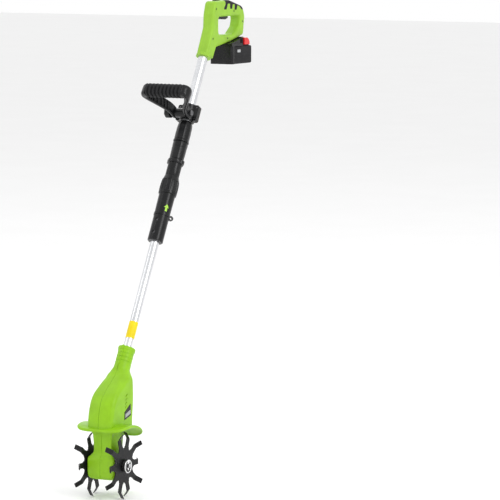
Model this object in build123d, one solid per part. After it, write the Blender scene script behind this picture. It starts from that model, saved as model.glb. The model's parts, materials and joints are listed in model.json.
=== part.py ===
from build123d import *
from math import cos, pi, radians, sin
import os

# Cordless mini cultivator with a telescopic pole.
# Millimetres, +Z up, +X to the tool's right, +Y rearwards to the operator.
# The origin is on the pole's axis, half way along the bare stretch of the upper tube.

# Pole: stations run up the pole from the neck's top rim
POLE_LEAN = 28.9
ORIGIN_STATION = 816.0
LOWER_TUBE_D = 25.0
UPPER_TUBE_D = 28.0
UPPER_TUBE_BORE = 25.7
LOWER_TUBE_BOTTOM = -72.0
LOWER_TUBE_TOP = 560.0
UPPER_TUBE_BOTTOM = 330.0
UPPER_TUBE_TOP = 935.0
SLIDE_GAP = 0.4

# Connector on the upper tube
COLLAR_BOTTOM = 320.0
COLLAR_TOP = 397.0
LOOP_TOP = 404.0
LOWER_SLEEVE_TOP = 462.0
TWIST_TOP = 519.0
MID_SLEEVE_TOP = 557.0
CLIP_TOP = 570.0
WINDOW_TOP = 624.0
TRIM_TOP = 631.0
TOP_SLEEVE_TOP = 688.0
COLLAR_SCREW_STATIONS = (343.0, 381.0)
LOOP_TURN = 50.0
LOOP_REACH = 27.2
HANG_HOLE_D = 7.0

# Head, measured from the centre of the tine shaft
NECK_RIM_Y = 103.0
NECK_RIM_Z = 307.0
NECK_D = 44.0
SHAFT_D = 12.0
SHAFT_HALF = 70.0
STAR_X = 49.0
STAR_R = 92.0
STAR_NOTCH_R = 47.0
STAR_BEND_R = 75.0
STAR_BEND = 13.0
STAR_TINES = 10
STAR_PLATE = 3.0
CASE_HALF = 43.5
HOUSING_HALF = 39.0
HOUSING_BASE_Z = 103.0
GUARD_HALF = 80.0
GUARD_LINE = ((-62, 102), (-40, 106.5), (-12, 110.5), (15, 109.5), (35, 104), (56, 93.5), (80, 73))
CASE_SCREWS = ((-34, -26, 43.5), (33, -27, 43.5), (-36, 5, 43.5), (5, 38, 27.5), (5, 90, 27.5))
HOUSING_LINE = ((-49, 103), (-49, 148), (-12, 205), (48, 240), (84, 228), (76, 185), (61, 103))
HOUSING_FRONT = ((-39, 103), (-39, 182), (-33, 214), (-23, 246), (23, 246), (33, 214), (39, 182), (39, 103))
HOUSING_SCREWS = ((-34, 115), (54, 114), (-12, 190), (65, 192))

# Worm drive
MODULE = 1.5
WHEEL_TEETH = 20
WORM_PITCH_R = 7.5
WHEEL_PITCH_R = MODULE * WHEEL_TEETH / 2
WORM_Y = WHEEL_PITCH_R + WORM_PITCH_R
WORM_LEAD = pi * MODULE
MOTOR_R = 25.0
MOTOR_TOP = 190.0
BEARING_D = 19.0
MOTOR_SHAFT_D = 7.0

# Front handle, measured from the clamp's middle on the pole
CLAMP_STATION = 715.0
CLAMP_HALF = 24.0
CLAMP_SCREWS = ((-27, 17), (27, 17), (-27, -17), (27, -17))
PIVOT_Y = -36.0
PIVOT_Z = -14.0
PIVOT_D = 8.0
BOW_TIP = 7.0
BOW_THICK = 30.0
BOW_OUTER = ((28, 14), (28, -18), (50, -58), (68, -88), (77, -106), (75, -120), (62, -130))
BOW_INNER = ((18, 14), (18, -20), (38, -58), (50, -80), (52, -92), (46, -98))
GRIP_HALF = 56.0

# Rear handle, measured from the bottom of its collar on the pole
HANDLE_STATION = 893.0
HANDLE_HALF = 18.0
HANDLE_WALL = 4.5
HANDLE_EDGE = 8.0
SKIN = 2.2
TRIGGER_PIVOT = (96.0, 119.0)
HANDLE_SCREWS = ((26, 52), (46, 136), (150, 127), (203, 96), (112, 50))
# Outlines as (Y, Z, corner radius)
HANDLE_LINE = ((-26, -20, 0), (26, 84, 11), (29, 121, 11), (41, 158, 13), (126, 160, 45), (206, 140, 24),
               (218, 112, 20), (209, 57, 11), (135, 40, 11), (48, 27, 11), (8, -38, 0))
HOLE_LINE = ((62, 62, 13), (150, 60, 26), (184, 84, 20), (192, 113, 11), (62, 113, 11))
OVERMOULD_LINE = ((99, 175), (99, 147), (91, 138), (92, 133), (106, 133), (113, 149), (126, 149),
                  (127, 134), (139, 134), (143, 147), (154, 146), (153, 131), (165, 130), (171, 143),
                  (182, 140), (194, 131), (240, 124), (240, 175))

# Battery
PACK_HALF = 36.5
PACK_FRONT = 118.4
PACK_BACK = 223.0
PACK_BOTTOM = -24.0
PACK_TOP = 27.0
PACK_SEAM = 3.0
TOWER_TOP = 51.8
CELL_R = 8.95
RAIL_GAP = 0.4
BLADES = (-15, -5, 5, 15)

BIG = 2000.0


def pole_point(station):
    along = station - ORIGIN_STATION
    return (0, along * sin(radians(POLE_LEAN)), along * cos(radians(POLE_LEAN)))


def on_pole(shape):
    """Tip a shape drawn upright on the pole's axis to the pole's lean."""
    return Location((0, 0, 0), (-POLE_LEAN, 0, 0)) * shape


def at_head(shape):
    """Move a shape drawn about the tine shaft to its place."""
    rim = pole_point(0)
    return Location((0, rim[1] - NECK_RIM_Y, rim[2] - NECK_RIM_Z)) * shape


def at_handle(shape):
    """Move a shape drawn about the rear handle's collar to its place."""
    return Location(pole_point(HANDLE_STATION)) * shape


def slab(x0, x1, y0, y1, z0, z1):
    box = Box(x1 - x0, y1 - y0, z1 - z0)
    return Location(((x0 + x1) / 2, (y0 + y1) / 2, (z0 + z1) / 2)) * box


def post(radius, z0, z1, x=0.0, y=0.0):
    rod = Cylinder(radius, z1 - z0, align=(Align.CENTER, Align.CENTER, Align.MIN))
    return Location((x, y, z0)) * rod


def bar(radius, x0, x1, y=0.0, z=0.0):
    rod = Cylinder(radius, x1 - x0, align=(Align.CENTER, Align.CENTER, Align.MIN))
    return Location((x0, y, z), (0, 90, 0)) * rod


def rod_y(radius, y0, y1, x=0.0, z=0.0):
    rod = Cylinder(radius, y1 - y0, align=(Align.CENTER, Align.CENTER, Align.MIN))
    return Location((x, y0, z), (-90, 0, 0)) * rod


def tube(outer, inner, z0, z1, x=0.0, y=0.0):
    return post(outer, z0, z1, x, y) - post(inner, z0 - 1, z1 + 1, x, y)


def pull_x(face, amount):
    """Extrude a face drawn in Y and Z towards +X."""
    return extrude(Plane.YZ * face, amount=amount, dir=(1, 0, 0))


def side_prism(points, x0, x1, radius=0.0):
    """Extrude an outline drawn in Y and Z from x0 to x1, corners rounded."""
    face = Polygon(*points, align=None)
    if radius > 0:
        face = fillet(face.vertices(), radius)
    return Location((x0, 0, 0)) * pull_x(face, x1 - x0)


def plan_prism(points, z0, z1, radius=0.0):
    """Extrude an outline drawn in X and Y from z0 to z1, corners rounded."""
    face = Polygon(*points, align=None)
    if radius > 0:
        face = fillet(face.vertices(), radius)
    return Location((0, 0, z0)) * extrude(face, amount=z1 - z0, dir=(0, 0, 1))


def rounded(corners):
    """Flat outline of (x, y, radius) corners, each with its own rounding."""
    face = Polygon(*[(x, y) for x, y, radius in corners], align=None)
    for x, y, radius in corners:
        if radius > 0:
            corner = face.vertices().sort_by_distance((x, y, 0))[0]
            face = fillet(corner, radius)
    return face


def left_half(shape):
    return shape & slab(-BIG, 0, -BIG, BIG, -BIG, BIG)


def right_half(shape):
    return shape & slab(0, BIG, -BIG, BIG, -BIG, BIG)


def station_tube(outer, inner, low, high):
    return tube(outer, inner, low - ORIGIN_STATION, high - ORIGIN_STATION)


def cross_screw(x_face, x_tip, y, z, shank=2.0, head=3.8):
    """A screw across the tool, its head sunk level with x_face."""
    body = bar(head, x_face - 3, x_face, y, z) + bar(shank, x_tip, x_face - 3, y, z)
    slot = slab(x_face - 1.2, x_face + 1, y - 2.2, y + 2.2, z - 0.5, z + 0.5)
    return body - slot - Location((0, y, z), (90, 0, 0)) * Location((0, -y, -z)) * slot


def screw_room(x_face, x_tip, y, z, shank=2.0, head=3.8):
    return bar(head, x_face - 3, x_face + 20, y, z) + bar(shank, x_tip, x_face - 3, y, z)


# ---------------------------------------------------------------- tine drive

def tine_shaft():
    shaft = bar(SHAFT_D / 2, -SHAFT_HALF, SHAFT_HALF)
    shaft = chamfer(shaft.edges(), 1)
    for side in (-1, 1):
        shaft -= post(2.2, -10, 10, side * 62.5)
    return at_head(shaft)


def star_outline():
    disc = Circle(STAR_NOTCH_R + 6)
    for index in range(STAR_TINES):
        angle = radians(36 * index + 18)
        reach = STAR_NOTCH_R + 6.5
        disc -= Location((reach * cos(angle), reach * sin(angle))) * Circle(6.5)
    return disc - Circle(SHAFT_D / 2)


def star_tine(bend):
    """One tine along +Y, its outer part cranked sideways by bend."""
    half = STAR_PLATE / 2
    flat = [(0, 40), (0, STAR_BEND_R), (bend, STAR_R)]
    outline = [(x - half, y) for x, y in flat] + [(x + half, y) for x, y in reversed(flat)]
    sheet = Location((0, 0, -10)) * extrude(Polygon(*outline, align=None), amount=20, dir=(0, 0, 1))
    side = [(36, 9), (58, 7.6), (STAR_BEND_R, 7.4), (91.5, 7), (91.2, 4)]
    shape = [(y, -z) for y, z in side] + [(y, z) for y, z in reversed(side[:4])]
    return sheet & side_prism(shape, -20, 20)


def tine_star():
    star = Location((-STAR_PLATE / 2, 0, 0)) * pull_x(star_outline(), STAR_PLATE)
    for index in range(STAR_TINES):
        bend = STAR_BEND if index % 2 else -STAR_BEND
        star += Location((0, 0, 0), (36 * index, 0, 0)) * star_tine(bend)
    return star


def tine_star_left():
    return at_head(Location((-STAR_X, 0, 0)) * tine_star())


def tine_star_right():
    return at_head(Location((STAR_X, 0, 0)) * tine_star())


def tine_spacers():
    one = bar(14, 44.3, 47.5) - bar(SHAFT_D / 2, 40, 50)
    return at_head(Compound([one, mirror(one, Plane.YZ)]))


def hub_boss():
    boss = bar(17, 50.5, 58)
    boss = chamfer(boss.edges().group_by(Axis.X)[-1], 2.5)
    for index in range(3):
        angle = radians(120 * index - 90)
        boss += bar(2.6, 57, 59, 11 * cos(angle), 11 * sin(angle))
    return boss - bar(SHAFT_D / 2, 40, 70)


def hub_bosses():
    return at_head(Compound([hub_boss(), mirror(hub_boss(), Plane.YZ)]))


def thrust_washers():
    one = bar(8, 58, 59.5) - bar(SHAFT_D / 2, 50, 70)
    return at_head(Compound([one, mirror(one, Plane.YZ)]))


def linch_pin(side):
    x = side * 62.5
    pin = post(2.2, -12, 9, x) + post(4.2, 8, 17, x)
    pin -= bar(SHAFT_D / 2, x - 10, x + 10) - post(2.2, -20, 20, x)
    return pin - rod_y(1.8, -10, 10, x, 13)


def linch_pins():
    return at_head(Compound([linch_pin(-1), linch_pin(1)]))


def linch_ring(side):
    """Spring ring with a straight pivot length through the pin's head."""
    x = side * 62.5
    mean = 17.0
    drop = mean * cos(radians(30))
    half = mean * sin(radians(30))
    arc = CenterArc((0, 0), mean, 120, 300)
    path = Wire([arc, Line(arc @ 1, arc @ 0)])
    ring = sweep(Plane(origin=arc @ 0.5, z_dir=arc % 0.5) * Circle(1.75), path=arc)
    pivot = rod_y(1.75, -half, half, x, 13)
    ends = Location((x, half, 13)) * Sphere(1.75) + Location((x, -half, 13)) * Sphere(1.75)
    turned = Location((x, 0, 13 - drop)) * (Plane.YZ * ring)
    return at_head(turned + pivot + ends)


def linch_ring_left():
    return linch_ring(-1)


def linch_ring_right():
    return linch_ring(1)


def worm_wheel():
    root = 13.0
    tip = WHEEL_PITCH_R + 1.3
    face = Circle(root)
    for index in range(WHEEL_TEETH):
        tooth = Polygon((root - 1, -1.15), (WHEEL_PITCH_R, -0.775), (tip, -0.45),
                        (tip, 0.45), (WHEEL_PITCH_R, 0.775), (root - 1, 1.15), align=None)
        face += Rotation(0, 0, index * 360 / WHEEL_TEETH) * tooth
    wheel = Location((-4, 0, 0)) * pull_x(face, 8)
    wheel += bar(10, -12, 12)
    return at_head(wheel - bar(SHAFT_D / 2, -20, 20))


def worm():
    length = WORM_LEAD * 6
    path = Helix(pitch=WORM_LEAD, height=length, radius=WORM_PITCH_R)
    start = Plane(origin=path @ 0, x_dir=(1, 0, 0), z_dir=path % 0)
    tooth = Polygon((-2.3, -1.35), (-2.3, 1.35), (1.5, 0.4), (1.5, -0.4), align=None)
    thread = sweep(start * tooth, path=path, is_frenet=True)
    bottom = -3.25 * WORM_LEAD
    screw = Location((0, WORM_Y, bottom)) * thread + post(5.6, -18, 30, 0, WORM_Y)
    return at_head(screw - post(MOTOR_SHAFT_D / 2, -30, 40, 0, WORM_Y))


def motor_rotor():
    rotor = post(20, 118, 172, 0, WORM_Y) + post(9, 172, 180, 0, WORM_Y)
    for index in range(12):
        angle = radians(30 * index)
        rotor -= post(1.2, 110, 172.5, 19.4 * cos(angle), WORM_Y + 19.4 * sin(angle))
    return at_head(rotor + post(MOTOR_SHAFT_D / 2, -20, 187.5, 0, WORM_Y))


def bearings():
    low = tube(BEARING_D / 2, MOTOR_SHAFT_D / 2 + 0.05, 60, 66, 0, WORM_Y)
    high = tube(BEARING_D / 2, MOTOR_SHAFT_D / 2 + 0.05, 182, 188, 0, WORM_Y)
    return at_head(Compound([low, high]))


def motor_can():
    can = tube(MOTOR_R, 23, HOUSING_BASE_Z, MOTOR_TOP, 0, WORM_Y)
    can += tube(24, 8, HOUSING_BASE_Z, HOUSING_BASE_Z + 4, 0, WORM_Y)
    can += tube(24, BEARING_D / 2, 182, MOTOR_TOP, 0, WORM_Y)
    can += tube(24, 21, 116, 174, 0, WORM_Y) - slab(-4, 4, -BIG, BIG, 100, 200)
    return at_head(can)


def gear_outline():
    box = slab(-CASE_HALF, CASE_HALF, -44, 40, -36, 18)
    box = chamfer(box.edges().filter_by(Axis.Y), 8)
    box = chamfer(box.edges().filter_by(Axis.Z), 6)
    column = slab(-30, 30, -35, 34.5, 8, 99)
    column = fillet(column.edges().filter_by(Axis.Z), 5)
    collar = slab(-32, 32, -37, 36.5, 91, 99)
    collar = fillet(collar.edges().filter_by(Axis.Z), 6)
    collar = chamfer(collar.edges().group_by(Axis.Z)[0], 1.8)
    column += collar
    for side in (-1, 1):
        column -= post(24, 30, 86, side * 50)
    return box + column + rod_y(5.5, -38, -30, 24, 24)


def gear_case():
    case = gear_outline()
    case -= bar(26, -20, 20)
    case -= bar(7, -30, 30)
    case -= bar(10, 26, 60) + bar(10, -60, -26)
    case -= post(9.4, -21, 110, 0, WORM_Y)
    case -= post(BEARING_D / 2, 60, 66, 0, WORM_Y)
    case -= slab(-24, 24, -30, -4, 30, 96)
    case -= rod_y(3, -40, -31, 24, 24)
    for y, z, face in CASE_SCREWS:
        case -= screw_room(face, -14, y, z)
    return case


def gear_case_left():
    return at_head(left_half(gear_case()))


def gear_case_right():
    return at_head(right_half(gear_case()))


def gear_case_screws():
    return at_head(Compound([cross_screw(face, -14, y, z) for y, z, face in CASE_SCREWS]))


def grease_plug():
    plug = rod_y(3, -38, -31, 24, 24) + rod_y(4.6, -40, -38, 24, 24)
    return at_head(plug - rod_y(1.8, -41, -38.6, 24, 24))


def shaft_bushes():
    one = bar(10, 26, CASE_HALF) - bar(SHAFT_D / 2 + 0.05, 20, 50)
    return at_head(Compound([one, mirror(one, Plane.YZ)]))


# ---------------------------------------------------------------- guard

def guard_sheet(depth):
    """Curved sheet under the guard's side line, depth thick, full width."""
    top = Spline(*GUARD_LINE)
    low = Spline(*[(y, z - depth) for y, z in GUARD_LINE])
    edges = [top, Line(top @ 1, low @ 1), low, Line(low @ 0, top @ 0)]
    face = make_face(edges)
    return Location((-GUARD_HALF, 0, 0)) * pull_x(face, 2 * GUARD_HALF)


def guard_plan(inset):
    half = GUARD_HALF - inset
    front = GUARD_LINE[0][0] + inset
    rear = GUARD_LINE[-1][0] - inset
    points = [(-half, -28), (-half, 46), (-58 + inset / 2, rear), (58 - inset / 2, rear),
              (half, 46), (half, -28), (58 - inset / 2, front), (-58 + inset / 2, front)]
    face = Polygon(*points, align=None)
    return Location((0, 0, 30)) * extrude(fillet(face.vertices(), 16), amount=100, dir=(0, 0, 1))


def guard():
    whole = guard_plan(0)
    rim = whole - guard_plan(3)
    body = (guard_sheet(3.2) & whole) + (guard_sheet(10) & rim)
    body -= slab(-HOUSING_HALF - 0.2, HOUSING_HALF + 0.2, -54, 68, HOUSING_BASE_Z, 130)
    body -= slab(-46, 46, -50, 70, 60, 99)
    plate = slab(-46, 46, -54, 70, 99, HOUSING_BASE_Z)
    body += plate & whole
    return at_head(body - post(9.4, 90, 110, 0, WORM_Y))


# ---------------------------------------------------------------- motor housing

def housing_block(inset):
    side = Polygon(*HOUSING_LINE, align=None)
    corners = side.vertices().sort_by(Axis.Y)[2:]
    side = fillet(corners, 12)
    front = Polygon(*HOUSING_FRONT, align=None)
    if inset > 0:
        side = offset(side, amount=-inset)
        front = offset(front, amount=-inset)
    block = extrude(Plane.YZ * side, amount=BIG / 4, both=True)
    block &= extrude(Plane.XZ * front, amount=BIG / 2, both=True)
    return block & post(90 - inset, 90, 260, 0, 41)


def neck():
    top = -ORIGIN_STATION
    shape = post(NECK_D / 2, top - 100, top)
    shape += post(NECK_D / 2 + 1.5, top - 7, top)
    for depth in (16, 30, 45):
        shape -= tube(NECK_D / 2 + 2, NECK_D / 2 - 1.4, top - depth - 1.4, top - depth + 1.4)
    return on_pole(shape)


def vent_slots():
    slots = Part()
    for y in (14, 23, 32):
        slot = slab(-60, 60, -1.7, 1.7, -8, 8)
        slots += Location((0, y, 174), (-28, 0, 0)) * slot
    return slots


def motor_housing():
    outer = housing_block(0)
    shell = outer - housing_block(3)
    bosses = Part()
    for y, z in HOUSING_SCREWS:
        bosses += bar(5, -40, 40, y, z)
    ribs = slab(-38, 38, -48, 70, 122, 125) + slab(-38, 38, -48, 76, 168, 171)
    shell += (bosses + ribs) & outer
    shell -= post(MOTOR_R, 90, MOTOR_TOP, 0, WORM_Y)
    shell -= vent_slots() - post(MOTOR_R + 6, 90, 200, 0, WORM_Y)
    for y, z in HOUSING_SCREWS:
        shell -= screw_room(33, -16, y, z)
    body = at_head(shell) + neck()
    bottom = LOWER_TUBE_BOTTOM - ORIGIN_STATION
    return body - on_pole(post(LOWER_TUBE_D / 2, bottom, bottom + 200))


def motor_housing_left():
    return left_half(motor_housing())


def motor_housing_right():
    return right_half(motor_housing())


def housing_screws():
    return at_head(Compound([cross_screw(33, -16, y, z) for y, z in HOUSING_SCREWS]))


def badge(side):
    outline = ((18, 117), (50, 117), (56, 160), (24, 160))
    x0 = HOUSING_HALF if side > 0 else -HOUSING_HALF - 1.2
    plate = side_prism(outline, x0, x0 + 1.2, 2.5)
    band = ((24, 134), (48, 134), (50, 146), (26, 146))
    x1 = HOUSING_HALF + 1.2 if side > 0 else -HOUSING_HALF - 1.6
    return plate + side_prism(band, x1, x1 + 0.4, 1.5)


def housing_badges():
    return at_head(Compound([badge(-1), badge(1)]))


# ---------------------------------------------------------------- pole

def lower_tube():
    radius = LOWER_TUBE_D / 2
    return on_pole(station_tube(radius, radius - 1.5, LOWER_TUBE_BOTTOM, LOWER_TUBE_TOP))


def upper_tube():
    return on_pole(station_tube(UPPER_TUBE_D / 2, UPPER_TUBE_BORE / 2, UPPER_TUBE_BOTTOM, UPPER_TUBE_TOP))


def pole_label():
    return on_pole(station_tube(LOWER_TUBE_D / 2 + 0.2, LOWER_TUBE_D / 2, 28, 77))


def end_collar():
    low = COLLAR_BOTTOM - ORIGIN_STATION
    shape = post(22, low, COLLAR_TOP - ORIGIN_STATION)
    shape = chamfer(shape.edges().group_by(Axis.Z)[0], 2)
    shape -= post(UPPER_TUBE_BORE / 2, low - 1, low + 12)
    shape -= post(UPPER_TUBE_D / 2, UPPER_TUBE_BOTTOM - ORIGIN_STATION, 0)
    for station in COLLAR_SCREW_STATIONS:
        shape -= rod_y(4.2, -30, -16.5, 0, station - ORIGIN_STATION)
    return on_pole(shape)


def collar_screws():
    screws = []
    for station in COLLAR_SCREW_STATIONS:
        z = station - ORIGIN_STATION
        screw = rod_y(4.2, -19, -16.5, 0, z) - rod_y(1.8, -20, -17.6, 0, z)
        screws.append(screw)
    return on_pole(Compound(screws))


def hanging_loop():
    low = COLLAR_TOP - ORIGIN_STATION
    high = LOOP_TOP - ORIGIN_STATION
    middle = (low + high) / 2
    ear = rod_y(7.2, -3, 3, 0, middle)
    ear = Location((LOOP_REACH, 0, 0)) * ear + slab(15, LOOP_REACH, -3, 3, low + 0.5, high - 0.5)
    ear -= rod_y(HANG_HOLE_D / 2, -10, 10, LOOP_REACH, middle)
    ring = post(23.4, low, high) + Location((0, 0, 0), (0, 0, LOOP_TURN)) * ear
    ring -= post(UPPER_TUBE_D / 2, low - 20, high + 20)
    ring -= tube(23.05, 10, low - 20, low)
    return on_pole(ring - tube(23.05, 10, high, high + 20))


def lower_sleeve():
    low = LOOP_TOP - ORIGIN_STATION
    high = LOWER_SLEEVE_TOP - ORIGIN_STATION
    cone = Cone(22.2, 23, high - low, align=(Align.CENTER, Align.CENTER, Align.MIN))
    return on_pole(Location((0, 0, low)) * cone - post(UPPER_TUBE_D / 2, low - 1, high + 1))


def lock_mark():
    """Raised arrow on the lower sleeve's right front."""
    z = LOOP_TOP - ORIGIN_STATION
    half = [(3, z + 4), (3, z + 15), (7, z + 15), (0, z + 25)]
    arrow = Polygon(*half, *[(-x, up) for x, up in reversed(half[:3])], align=None)
    prism = Location((0, 0, 0), (0, 0, 50)) * extrude(Plane.XZ * arrow, amount=40)
    tall = LOWER_SLEEVE_TOP - LOOP_TOP
    upright = (Align.CENTER, Align.CENTER, Align.MIN)
    skin = Cone(22.55, 23.35, tall, align=upright) - Cone(22.2, 23, tall, align=upright)
    return on_pole(prism & (Location((0, 0, z)) * skin))


def twist_collar():
    low = LOWER_SLEEVE_TOP - ORIGIN_STATION + SLIDE_GAP
    high = TWIST_TOP - ORIGIN_STATION - SLIDE_GAP
    shape = post(24, low, high)
    shape = chamfer(shape.edges().group_by(Axis.Z)[-1], 5)
    shape = chamfer(shape.edges().group_by(Axis.Z)[0], 2)
    for index in range(24):
        angle = radians(15 * index)
        shape -= post(1.6, low + 8, high - 10, 24.6 * cos(angle), 24.6 * sin(angle))
    return on_pole(shape - post(UPPER_TUBE_D / 2 + SLIDE_GAP, low - 1, high + 1))


def mid_sleeve():
    low = TWIST_TOP - ORIGIN_STATION
    high = MID_SLEEVE_TOP - ORIGIN_STATION
    shape = tube(18.7, UPPER_TUBE_D / 2, low, high)
    shape += tube(19.6, 18, low + 4, low + 7)
    shape -= slab(-5.4, 5.4, 15, 30, low + 11, low + 33)
    lip = tube(20.5, UPPER_TUBE_D / 2, high, CLIP_TOP - ORIGIN_STATION)
    return on_pole(shape + lip - tube(25, 19.4, high + 5, high + 8))


def release_button():
    low = TWIST_TOP - ORIGIN_STATION + 11.4
    button = slab(-5, 5, 17, 21.5, low, low + 21.2)
    button = fillet(button.edges().group_by(Axis.Y)[-1], 1.2)
    for step in range(4):
        button -= bar(0.6, -6, 6, 21.6, low + 4 + 4.4 * step)
    return on_pole(button)


def window_sleeve():
    low = CLIP_TOP - ORIGIN_STATION
    high = WINDOW_TOP - ORIGIN_STATION
    cone = Cone(19.5, 21, high - low, align=(Align.CENTER, Align.CENTER, Align.MIN))
    shape = Location((0, 0, low)) * cone - post(UPPER_TUBE_D / 2, low - 1, high + 1)
    window = slab(-6, 6, -30, -18.2, low + 12, high - 12)
    return on_pole(shape - fillet(window.edges().filter_by(Axis.Y), 4))


def top_sleeve():
    low = TRIM_TOP - ORIGIN_STATION
    high = TOP_SLEEVE_TOP - ORIGIN_STATION
    sleeve = post(21.3, low, high)
    sleeve = fillet(sleeve.edges().group_by(Axis.Z)[-1], 4)
    ring = post(22.5, WINDOW_TOP - ORIGIN_STATION, low)
    sleeve += fillet(ring.edges(), 2)
    return on_pole(sleeve - post(UPPER_TUBE_D / 2, low - 20, high + 1))


# ---------------------------------------------------------------- front handle

def on_clamp(shape):
    return on_pole(Location((0, 0, CLAMP_STATION - ORIGIN_STATION)) * shape)


def clamp_body():
    body = post(22, -CLAMP_HALF, CLAMP_HALF)
    flange = slab(-33, 33, -8, 8, -CLAMP_HALF, CLAMP_HALF)
    body += fillet(flange.edges().filter_by(Axis.Y), 5)
    return body


def clamp_front():
    block = bar(13, -16.5, 16.5, PIVOT_Y, PIVOT_Z) + slab(-16.5, 16.5, PIVOT_Y, -12, -22, -4)
    body = (clamp_body() & slab(-60, 60, -60, 0, -60, 60)) + block
    body -= post(UPPER_TUBE_D / 2 + SLIDE_GAP, -60, 60)
    body -= bar(PIVOT_D / 2, -60, 60, PIVOT_Y, PIVOT_Z)
    for x, z in CLAMP_SCREWS:
        body -= rod_y(2, -20, 10, x, z)
    return on_clamp(body)


def clamp_rear():
    body = clamp_body()
    for z in (-12, 12):
        body += Location((0, 19, z)) * Sphere(7)
    body &= slab(-60, 60, 0, 60, -60, 60)
    body -= post(UPPER_TUBE_D / 2 + SLIDE_GAP, -60, 60)
    for x, z in CLAMP_SCREWS:
        body -= rod_y(2, -20, 20, x, z)
    return on_clamp(body)


def clamp_screws():
    screws = []
    for x, z in CLAMP_SCREWS:
        screw = rod_y(2, -8, 8, x, z) + rod_y(3.6, 8, 11, x, z)
        screws.append(screw - rod_y(1.5, 9.6, 12, x, z))
    return on_clamp(Compound(screws))


def bow_points():
    right = list(BOW_OUTER) + [(-x, y) for x, y in reversed(BOW_OUTER)]
    inner = [(-x, y) for x, y in BOW_INNER] + list(reversed(BOW_INNER))
    return right + inner


def at_pivot(shape):
    """Move a shape drawn about the front handle's pivot to its place and tip."""
    return on_clamp(Location((0, PIVOT_Y, PIVOT_Z), (-BOW_TIP, 0, 0)) * shape)


def front_handle_bow():
    half = BOW_THICK / 2
    bow = plan_prism(bow_points(), -half, half)
    rims = bow.edges().group_by(Axis.Z)
    bow = fillet(rims[0] + rims[-1], 3)
    bow -= bar(PIVOT_D / 2 + 0.4, -60, 60)
    bow -= slab(-GRIP_HALF, GRIP_HALF, -140, -90, -20, 20)
    return at_pivot(bow + slab(-GRIP_HALF, GRIP_HALF, -127, -101, -10, 10))


def front_grip_pad():
    pad = slab(-GRIP_HALF, GRIP_HALF, -132, -96, -18, 18)
    pad = fillet(pad.edges().filter_by(Axis.X), 13)
    for step in range(9):
        x = 11 * (step - 4)
        groove = slab(x - 1.6, x + 1.6, -140, -90, -20, 6)
        pad -= groove - slab(-60, 60, -129.6, -98.4, -15.6, 30)
    return at_pivot(pad - slab(-60, 60, -127, -101, -10, 10))


def pivot_bolt():
    bolt = bar(PIVOT_D / 2, -50, 28.6, PIVOT_Y, PIVOT_Z)
    head = Location((28.6, PIVOT_Y, PIVOT_Z)) * pull_x(RegularPolygon(8, 6), 5)
    return on_clamp(bolt + head + bar(9, -30.4, -28.5, PIVOT_Y, PIVOT_Z))


def clamp_knob():
    knob = Location((-50, PIVOT_Y, PIVOT_Z)) * pull_x(RegularPolygon(16.5, 8), 16)
    knob = chamfer(knob.edges().group_by(Axis.X)[0], 2.5)
    knob += bar(9, -35, -30.9, PIVOT_Y, PIVOT_Z)
    for index in range(8):
        angle = radians(45 * index)
        knob -= bar(3, -60, -34, PIVOT_Y + 17.6 * cos(angle), PIVOT_Z + 17.6 * sin(angle))
    return on_clamp(knob - bar(PIVOT_D / 2 + 0.4, -60, -20, PIVOT_Y, PIVOT_Z))


# ---------------------------------------------------------------- rear handle

def handle_face():
    return rounded(HANDLE_LINE) - rounded(HOLE_LINE)


def handle_block(shrink, edge):
    face = handle_face()
    if shrink > 0:
        face = offset(face, amount=-shrink)
    half = HANDLE_HALF - shrink
    block = Location((-half, 0, 0)) * pull_x(face, 2 * half)
    rims = block.edges().group_by(Axis.X)
    return fillet(rims[0] + rims[-1], edge)


def above_collar(shape, station):
    """Keep what lies further up the pole than the given station."""
    room = post(BIG, station - HANDLE_STATION, station - HANDLE_STATION + 2 * BIG)
    return shape & Location((0, 0, 0), (-POLE_LEAN, 0, 0)) * room


def overmould_room():
    return side_prism(OVERMOULD_LINE, -30, 30)


def handle_outer():
    return above_collar(handle_block(0, HANDLE_EDGE), HANDLE_STATION + 10)


def grip_skin():
    skin = handle_block(0, HANDLE_EDGE) & overmould_room()
    return skin - handle_block(SKIN, HANDLE_EDGE - SKIN)


def handle_cavity():
    room = Location((-14, 0, 0)) * pull_x(offset(handle_face(), amount=-HANDLE_WALL), 28)
    room = above_collar(room, HANDLE_STATION + 60)
    for y, z in HANDLE_SCREWS:
        room -= bar(5.5, -30, 30, y, z)
    return room - slab(-10, 10, 86, 140, 113, 135)


def trigger_room():
    room = slab(-7.5, 7.5, 90, 136, 95, 131)
    return room + slab(-3, 3, 106, 118, 125, 140)


def rear_handle():
    body = handle_outer() - grip_skin()
    body -= handle_cavity()
    body -= trigger_room() - slab(-30, 30, 60, 180, 60, 103)
    body -= bar(2, -12, 12, *TRIGGER_PIVOT)
    body -= slab(-6.4, 6.4, 64.6, 88.4, 140, 170)
    tube_end = post(UPPER_TUBE_D / 2, -20, UPPER_TUBE_TOP - HANDLE_STATION)
    body -= Location((0, 0, 0), (-POLE_LEAN, 0, 0)) * tube_end
    for y, z in HANDLE_SCREWS:
        body -= screw_room(17, -12, y, z, 1.6, 3.2)
    return body


def handle_left():
    return at_handle(left_half(rear_handle()))


def handle_right():
    return at_handle(right_half(rear_handle()))


def handle_collar():
    low = HANDLE_STATION - ORIGIN_STATION
    ring = Cone(21.5, 20, 10, align=(Align.CENTER, Align.CENTER, Align.MIN))
    return on_pole(Location((0, 0, low)) * ring - post(UPPER_TUBE_D / 2, low - 1, low + 11))


def handle_screws():
    return at_handle(Compound([cross_screw(17, -12, y, z, 1.6, 3.2) for y, z in HANDLE_SCREWS]))


def grip_overmould():
    return at_handle(grip_skin())


def lock_off_button():
    button = slab(-6, 6, 65, 88, 145, 162)
    button = fillet(button.edges().group_by(Axis.Z)[-1], 2.5)
    for step in range(4):
        button -= bar(0.8, -7, 7, 69 + 5 * step, 162.2)
    return at_handle(button)


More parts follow.
